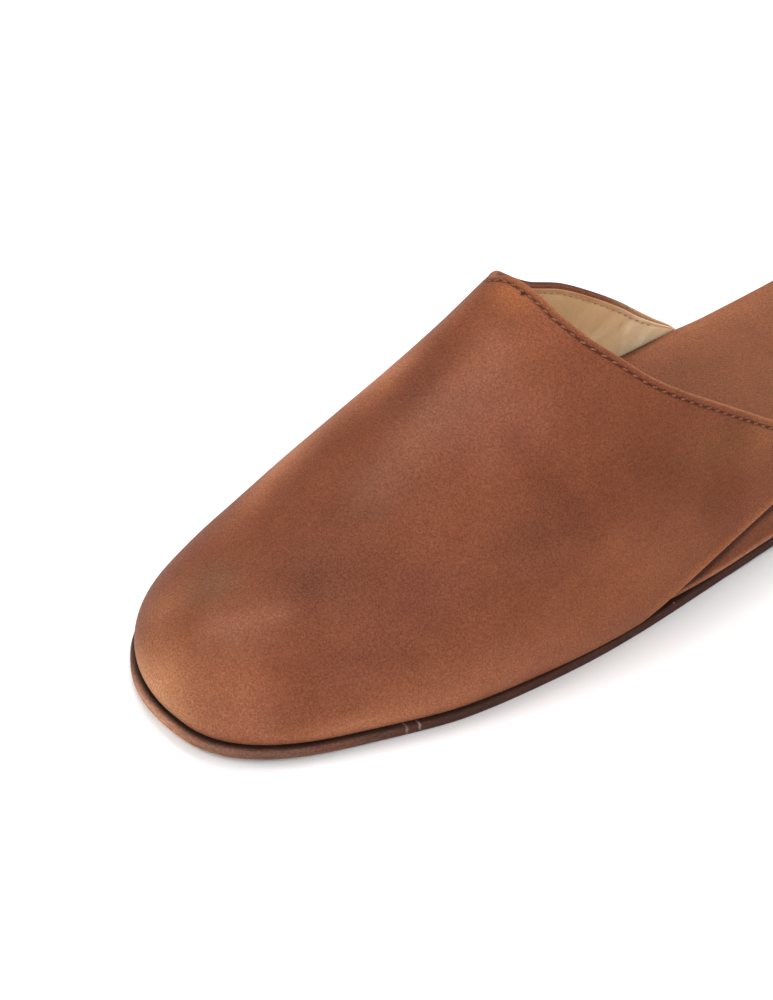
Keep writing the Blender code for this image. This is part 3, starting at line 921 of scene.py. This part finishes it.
row_of_distance = {distance: body_rows + i for i, distance in enumerate(edge_rows)}
leather_rows = list(range(body_rows)) + [row_of_distance[distance] for distance, _ in FOLDED_EDGE]
leather_depths = np.array([0.0] * body_rows + [depth for _, depth in FOLDED_EDGE])


def folded(points, folds):
    """Depth of soft folds that run along straight lines."""
    depth = np.zeros(points.shape[:-1])
    for start, end, half_width_of_fold, deep in folds:
        start, run = np.array(start), np.array(end) - np.array(start)
        share = np.clip((points - start) @ run / (run @ run), 0.0, 1.0)
        away = np.linalg.norm(points - start - share[..., None] * run, axis=-1)
        depth += deep * np.exp(-((away / half_width_of_fold) ** 2))
    return depth


def leather_depth(side):
    """Depth of the vamp's leather: its soft folds, and the folded edge along the topline."""
    size = np.clip(band_width[side] / EDGE_BAND, 0.0, 1.0)
    depth = np.repeat(leather_depths[:, None], VAMP_COLUMNS + 1, axis=1)
    outer = (np.arange(len(leather_depths)) <= body_rows + GROOVE_END)[:, None]
    depth = np.where(outer, depth * size[None, :], depth)
    body = (np.arange(len(leather_depths)) < body_rows)[:, None]
    return depth + np.where(body, folded(vamp_half[side][leather_rows], VAMP_FOLDS), 0.0)


vamp_points, vamp_faces, vamp_numbers = shell(leather_depth, leather_rows, roll=True)
vamp_tone = painted(vamp_points, VAMP_TONE, VAMP_PATCHES)
fold_at_point = folded(vamp_points, VAMP_FOLDS)
# painted shade in the folds' hollows and painted highlight on their ridges
for bend, colour in ((fold_at_point, FOLD_SHADE_TONE), (-fold_at_point, FOLD_HIGHLIGHT_TONE)):
    vamp_tone = blended(vamp_tone, FOLD_SHADING_STRENGTH * np.clip(bend, 0.0, 1.0), colour)
for index, (distance, _) in enumerate(FOLDED_EDGE):
    for side in (1, -1):
        spots = vamp_numbers[side][body_rows + index]
        if index <= FOLD_TOP:
            # painted highlight on the bead and painted shade in the stitch groove
            for middle, spread, strength, colour in TOPLINE_BANDS:
                weight = strength * close_to(distance, middle, spread)
                vamp_tone[spots] = blended(vamp_tone[spots], weight, colour)
        if side < 0 and index >= FOLD_TOP - 1:
            along = vamp_points[spots][:, 1]
            paled = faded_in(along, INNER_RIM_PALE_START, INNER_RIM_PALE_FADE)
            shown = INNER_RIM_STRENGTH * faded_in(along, INNER_RIM_START, INNER_RIM_FADE)
            tone = DARK_RIM_TONE if index <= FOLD_TOP + 1 else TURN_IN_TONE
            vamp_tone[spots] = blended(vamp_tone[spots], shown * (1.0 - paled), tone)
            vamp_tone[spots] = blended(vamp_tone[spots], shown * paled, PALE_RIM_TONE)
for side in (1, -1):
    # painted shade on the turned-under lower edge
    vamp_tone[vamp_numbers[side][:, :TURN_UNDER_STEPS]] = leather_colour(*TURN_UNDER_SHADE_TONE)
    half = vamp_half[side]
    from_edge = np.linalg.norm(half[:, 1:] - half[:, :-1], axis=2).cumsum(axis=1)
    from_edge = np.concatenate([np.zeros((len(from_edge), 1)), from_edge], axis=1)[leather_rows]
    on_wing = faded_in(half[leather_rows][:, :1, 1], WING_HIGHLIGHT_START, WING_HIGHLIGHT_FADE)
    spots = vamp_numbers[side][:, TURN_UNDER_STEPS:].ravel()
    # painted highlight along the vamp's lower edge, strongest along the wings
    for middle, spread, strength, colour in WING_RIM_HIGHLIGHT:
        rim = strength * on_wing * close_to(from_edge, middle, spread)
        vamp_tone[spots] = blended(vamp_tone[spots], rim, colour)
vamp_leather = make_piece("vamp_leather", vamp_points, vamp_faces, vamp_tone)
vamp_nubuck = nubuck("vamp_nubuck", cloud=0.7, pebble_depth=0.45, marks=[PULLED_STITCH])
vamp_leather.data.materials.append(vamp_nubuck)
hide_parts("vamp")
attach(vamp_leather, "root")

# ---------------------------------------------------------------------------------------------
# Lining
# Soft beige leather, glued inside the vamp over its whole depth. Its edge lies against the
# folded topline, caught by the same row of stitches, and it creases a little where it bends.
# ---------------------------------------------------------------------------------------------
LINING_DEPTH = 2.36
LINING_EDGE = (
    # distance from the topline, depth under the vamp's face
    (6.0, LINING_DEPTH), (5.0, LINING_DEPTH), (4.2, 2.35), (3.6, 2.32), (3.1, 2.27),
    (2.75, 2.30), (2.5, 2.34), (2.3, 2.37), (2.1, 2.39), (1.9, 2.39), (1.7, 2.37),
    (1.4, 2.28), (1.3, 2.16), (1.3, 2.02),
)
LINING_ROW = 2.5
LINING_CREASES = (
    # start and end seen from the side (from toe, height), half width, depth: hollows below zero
    ((198.0, 33.5), (191.5, 29.0), 1.1, -0.27),
    ((191.5, 29.0), (191.5, 20.0), 1.1, -0.13),
    ((201.0, 31.5), (195.0, 26.0), 1.2, 0.28),
    ((195.0, 26.0), (194.5, 18.0), 1.2, 0.24),
    ((207.0, 26.0), (201.0, 20.0), 1.5, 0.26),
    ((204.0, 28.0), (199.0, 21.0), 1.0, -0.14),
    ((188.0, 38.0), (181.0, 31.0), 1.4, -0.13),
    ((184.0, 29.0), (176.0, 27.0), 1.6, 0.18),
    ((178.0, 45.0), (168.0, 37.0), 1.7, -0.09),
)
CREASE_SIDE = -20.0  # the creases lie on the medial wing, beyond this sideways place
CREASE_FREE = 2.6  # the creases begin this far from the topline, past the stitches
CREASE_FREE_FADE = 1.6
CREASE_SHADE = 0.8  # how strongly painted shade in the creases' hollows and painted highlight on their ridges show in the tone
CREASE_HIGHLIGHT = 1.1
FLESH_MIDDLE = 1.6  # the lining's own raw strip, at this distance from the topline
FLESH_SPREAD = 0.8
FLESH_STRENGTH = 0.8
FLESH_END = 205.0  # the strip fades towards this place on the wings
FLESH_FADE = 30.0
FLESH_LEAST = 0.2
STITCH_SHADE_SPREAD = 0.3
STITCH_SHADE_STRENGTH = 0.25
LINING_TONE = (240, 204, 154)
CREASE_SHADE_TONE = (176, 126, 82)
CREASE_HIGHLIGHT_TONE = (255, 240, 204)
FLESH_TONE = (190, 132, 98)
STITCH_SHADE_TONE = (140, 96, 64)
LINING_PATCHES = (
    # x, from toe, height, reach, colour, strength; the second is a painted pool of light low on the medial
    # wing
    (-16.0, 126.0, 66.0, (24, 24, 24), (196, 150, 96), 0.85),
    (-36.0, 201.0, 22.0, (12, 20, 18), (255, 229, 188), 1.0),
)
lining_rows = list(range(body_rows)) + [row_of_distance[distance] for distance, _ in LINING_EDGE]
lining_depths = np.array([LINING_DEPTH] * body_rows + [depth for _, depth in LINING_EDGE])
lining_distances = np.array([EDGE_BAND] * body_rows + [distance for distance, _ in LINING_EDGE])


def creased(points):
    """Depth of the creases in the lining of the medial wing."""
    return np.where(points[..., 0] < CREASE_SIDE, folded(points[..., 1:], LINING_CREASES), 0.0)


def lining_depth(side):
    """Depth of the lining's face, with its creases on the medial side."""
    depth = np.repeat(lining_depths[:, None], VAMP_COLUMNS + 1, axis=1)
    free = faded_in(lining_distances, CREASE_FREE, CREASE_FREE_FADE)[:, None]
    return depth + free * creased(vamp_half[side][lining_rows])


def lining_leather(name):
    """Beige lining leather: smooth, lightly mottled, with a fine crinkle."""
    material, tree, shader, place, tone = new_leather(name)
    slow = noise(tree, place, scale=60.0, detail=4.0, roughness=0.6)
    grain = noise(tree, place, scale=1500.0, detail=3.0, roughness=0.6)
    wrinkle = noise(tree, place, scale=220.0, detail=3.0, distortion=0.8)
    colour = tinted(tree, ranged(tree, slow, 0.42, 0.66, 0.0, 0.6), tone, (0.86, 0.80, 0.72))
    colour = tinted(tree, ranged(tree, grain, 0.4, 0.65, 0.0, 0.5), colour, (0.90, 0.86, 0.80))
    tree.links.new(colour, shader.inputs["Base Color"])
    shader.inputs["Roughness"].default_value = 0.62
    shader.inputs["Specular IOR Level"].default_value = 0.2
    raise_relief(tree, shader, added(tree, wrinkle, grain), strength=0.5, depth=0.0002)
    return material


lining_points, lining_faces, lining_numbers = shell(lining_depth, lining_rows, roll=False)
lining_faces = [face[::-1] for face in lining_faces]
lining_tone = painted(lining_points, LINING_TONE, LINING_PATCHES)
crease = creased(lining_points)
# painted shade in the creases' hollows and painted highlight on their ridges
lining_tone = blended(lining_tone, np.clip(-CREASE_SHADE * crease, 0.0, 1.0), CREASE_SHADE_TONE)
lining_tone = blended(lining_tone, np.clip(CREASE_HIGHLIGHT * crease, 0.0, 1.0), CREASE_HIGHLIGHT_TONE)
for index, (distance, _) in enumerate(LINING_EDGE):
    spots = np.concatenate([lining_numbers[side][body_rows + index] for side in (1, -1)])
    left = np.maximum(faded_in(FLESH_END - lining_points[spots][:, 1], 0.0, FLESH_FADE), FLESH_LEAST)
    flesh = FLESH_STRENGTH * close_to(distance, FLESH_MIDDLE, FLESH_SPREAD) * left
    shade = STITCH_SHADE_STRENGTH * close_to(distance, LINING_ROW, STITCH_SHADE_SPREAD)
    lining_tone[spots] = blended(lining_tone[spots], flesh, FLESH_TONE)
    lining_tone[spots] = blended(lining_tone[spots], shade, STITCH_SHADE_TONE)
vamp_lining = make_piece("vamp_lining", lining_points, lining_faces, lining_tone)
vamp_lining.data.materials.append(lining_leather("beige_lining_leather"))
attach(vamp_lining, "root")

# ---------------------------------------------------------------------------------------------
# Stitches of the topline and the lining
# One row of waxed thread that holds the folded edge and the lining together, brown outside and
# tan inside. Each stitch lies in its groove and dives through the leather at both ends.
# ---------------------------------------------------------------------------------------------
STITCH_PITCH = 3.2
STITCH_LENGTH = 1.75
STITCH_DIVE = 0.45
STITCH_SLANT = 13.0
STITCH_UNEVEN_SLANT = 5.0
STITCH_UNEVEN_LIFT = 0.03
STITCH_UNEVEN_WAVES = (
    # pace from stitch to stitch, phase, share
    (2.4, 0.0, 1.0),
    (5.3, 1.0, 0.6),
)
STITCH_TAPER = 0.75
STITCH_THIN_END = 0.05
STRAND_SHADE = 0.55  # how dark the thread is between its strands
STITCH_RINGS = 9
STITCH_SIDES = 8
LEAST_BAND = 4.0  # the row stops where the wing has grown narrower than this
HEADING_STEP = 0.4  # step along the row over which a stitch's direction is measured
TOPLINE_ROW_DEPTH = 0.42
TOPLINE_THREAD_LIFT = 0.22
TOPLINE_THREAD_RADIUS = 0.23
TOPLINE_THREAD_TONE = (136, 84, 62)
LINING_ROW_DEPTH = 2.24
LINING_THREAD_LIFT = 0.20
LINING_THREAD_RADIUS = 0.24
LINING_THREAD_TONE = (206, 154, 116)


def stitch_row(distance, depth):
    """Places, headings and outward directions of the stitches at a distance from the topline."""
    row = row_of_distance[distance]
    points, normals = [], []
    for side in (1, -1):
        keep = band_width[side] >= LEAST_BAND
        line = vamp_half[side][row][keep]
        out = vamp_normal[side][row][keep]
        points.append(line if side == 1 else line[-2::-1])
        normals.append(out if side == 1 else out[-2::-1])
    line = np.concatenate(points)
    out = unit(np.concatenate(normals))
    line = line - out * depth
    length = np.concatenate([[0.0], np.cumsum(np.linalg.norm(np.diff(line, axis=0), axis=1))])
    count = int(length[-1] // STITCH_PITCH)
    middles = (np.arange(count) + 0.5) * length[-1] / count

    def beside_middles(values, shift=0.0):
        """Values along the row, at a shift from the middle of each stitch."""
        return np.stack([np.interp(middles + shift, length, column) for column in values.T], axis=-1)

    heading = beside_middles(line, HEADING_STEP) - beside_middles(line, -HEADING_STEP)
    return beside_middles(line), unit(heading), unit(beside_middles(out))


def thread_mesh(places, headings, uprights, lift, radius):
    """Tapered thread segments that rise in the middle and dive at their ends."""
    points, faces = [], []
    for count, (place, heading, upright) in enumerate(zip(places, headings, uprights)):
        uneven = sum(share * math.sin(pace * count + phase) for pace, phase, share in STITCH_UNEVEN_WAVES)
        slant = math.radians(STITCH_SLANT + STITCH_UNEVEN_SLANT * uneven)
        aside = np.cross(upright, heading)
        along = heading * math.cos(slant) + aside * math.sin(slant)
        across = np.cross(upright, along)
        first = len(points)
        for ring in range(STITCH_RINGS):
            t = 2.0 * ring / (STITCH_RINGS - 1) - 1.0
            rise = lift + STITCH_UNEVEN_LIFT * uneven - STITCH_DIVE * t ** 4
            centre = place + along * (0.5 * STITCH_LENGTH * t) + upright * rise
            girth = radius * math.sqrt(max(1.0 - STITCH_TAPER * t ** 6, STITCH_THIN_END))
            for corner in range(STITCH_SIDES):
                a = 2.0 * math.pi * corner / STITCH_SIDES
                points.append(centre + girth * (math.cos(a) * across + math.sin(a) * upright))
        for ring in range(STITCH_RINGS - 1):
            for corner in range(STITCH_SIDES):
                near = first + ring * STITCH_SIDES
                far = near + STITCH_SIDES
                beside = (corner + 1) % STITCH_SIDES
                faces.append((near + corner, near + beside, far + beside, far + corner))
        faces.append(tuple(first + corner for corner in range(STITCH_SIDES))[::-1])
        last = first + (STITCH_RINGS - 1) * STITCH_SIDES
        faces.append(tuple(last + corner for corner in range(STITCH_SIDES)))
    return points, faces


def waxed_thread(name, colour):
    """Twisted, waxed thread: fine slanting strands and a soft gloss."""
    material, tree, shader = new_material(name)
    place = add_node(tree, "TexCoord").outputs["Object"]
    twist = {"Vector": place, "Scale": 900.0, "Distortion": 1.5, "Detail": 1.0}
    strands = add_node(tree, "TexWave", twist, bands_direction="DIAGONAL").outputs["Fac"]
    lit = leather_colour(*colour)
    shown = mixed(tree, strands, (*(STRAND_SHADE * lit), 1.0), (*lit, 1.0))
    tree.links.new(shown, shader.inputs["Base Color"])
    shader.inputs["Roughness"].default_value = 0.5
    raise_relief(tree, shader, strands, strength=0.5, depth=0.00006)
    return material


places, headings, uprights = stitch_row(STITCH_ROW, TOPLINE_ROW_DEPTH)
points, faces = thread_mesh(places, headings, uprights, TOPLINE_THREAD_LIFT, TOPLINE_THREAD_RADIUS)
topline_stitches = make_piece("topline_stitches", points, faces)
topline_stitches.data.materials.append(waxed_thread("waxed_brown_thread", TOPLINE_THREAD_TONE))
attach(topline_stitches, "root")

places, headings, uprights = stitch_row(LINING_ROW, LINING_ROW_DEPTH)
points, faces = thread_mesh(places, headings, -uprights, LINING_THREAD_LIFT, LINING_THREAD_RADIUS)
lining_stitches = make_piece("lining_stitches", points, faces)
lining_stitches.data.materials.append(waxed_thread("tan_lining_thread", LINING_THREAD_TONE))
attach(lining_stitches, "root")

# ---------------------------------------------------------------------------------------------
# Studio
# A pale floor, large soft boxes overhead and all round the shoe, and the camera above the toe
# on the shoe's outer side.
# ---------------------------------------------------------------------------------------------
FLOOR_REACH = 4.0  # in metres, like all sizes of the studio
FLOOR_DROP = 0.0001
PAPER_GREY = 0.95
SKY_STRENGTH = 0.08
LIT_POINT = (0.0, -0.03, 0.03)
SOFTBOXES = (
    # name, place, width, watts
    ("overhead_softbox", (-0.6, 0.35, 1.4), 1.1, 16.5),
    ("front_softbox", (-0.7, -1.1, 0.9), 0.9, 11.3),
    ("near_softbox", (0.9, -0.9, 1.1), 0.9, 13.5),
    ("low_softbox", (1.25, -0.75, 0.36), 0.7, 6.5),
    ("side_softbox", (1.2, 0.3, 0.9), 0.9, 4.5),
    ("back_softbox", (-0.2, 1.2, 1.0), 0.9, 10.5),
)
CAMERA_LENS = 108.0
CAMERA_SENSOR = 36.0
CAMERA_PLACE = (0.4842, -0.4878, 0.4697)
CAMERA_LOOKING = (-0.6293, 0.5397, -0.5592)
CAMERA_RIGHTWARD = (0.6510, 0.7590, 0.0)
scene = bpy.context.scene
scene.view_settings.view_transform = "Standard"

floor_mesh = bpy.data.meshes.new("studio_floor")
corners = [(x * FLOOR_REACH, y * FLOOR_REACH, 0.0) for x, y in ((-1, -1), (1, -1), (1, 1), (-1, 1))]
floor_mesh.from_pydata(corners, [], [(0, 1, 2, 3)])
floor = bpy.data.objects.new("studio_floor", floor_mesh)
floor.location.z = -FLOOR_DROP
scene.collection.objects.link(floor)
paper, tree, shader = new_material("pale_paper")
shader.inputs["Base Color"].default_value = (PAPER_GREY, PAPER_GREY, PAPER_GREY, 1.0)
shader.inputs["Roughness"].default_value = 0.9
shader.inputs["Specular IOR Level"].default_value = 0.1
floor_mesh.materials.append(paper)

world = bpy.data.worlds.new("studio")
world.use_nodes = True
background = world.node_tree.nodes["Background"]
background.inputs["Color"].default_value = (1.0, 1.0, 1.0, 1.0)
background.inputs["Strength"].default_value = SKY_STRENGTH
scene.world = world


def soft_light(name, place, width, watts):
    """Square soft box that looks at the shoe."""
    light = bpy.data.lights.new(name, "AREA")
    light.shape = "SQUARE"
    light.size = width
    light.energy = watts
    item = bpy.data.objects.new(name, light)
    item.location = place
    item.rotation_euler = (Vector(LIT_POINT) - Vector(place)).to_track_quat("-Z", "Y").to_euler()
    scene.collection.objects.link(item)


for softbox in SOFTBOXES:
    soft_light(*softbox)

camera_data = bpy.data.cameras.new("camera")
camera_data.lens = CAMERA_LENS
camera_data.sensor_width = CAMERA_SENSOR
camera = bpy.data.objects.new("camera", camera_data)
looking = Vector(CAMERA_LOOKING).normalized()
rightward = Vector(CAMERA_RIGHTWARD).normalized()
upward = rightward.cross(looking)
turned = Matrix((rightward, upward, -looking)).transposed().to_4x4()
camera.matrix_world = Matrix.Translation(CAMERA_PLACE) @ turned
scene.collection.objects.link(camera)
scene.camera = camera
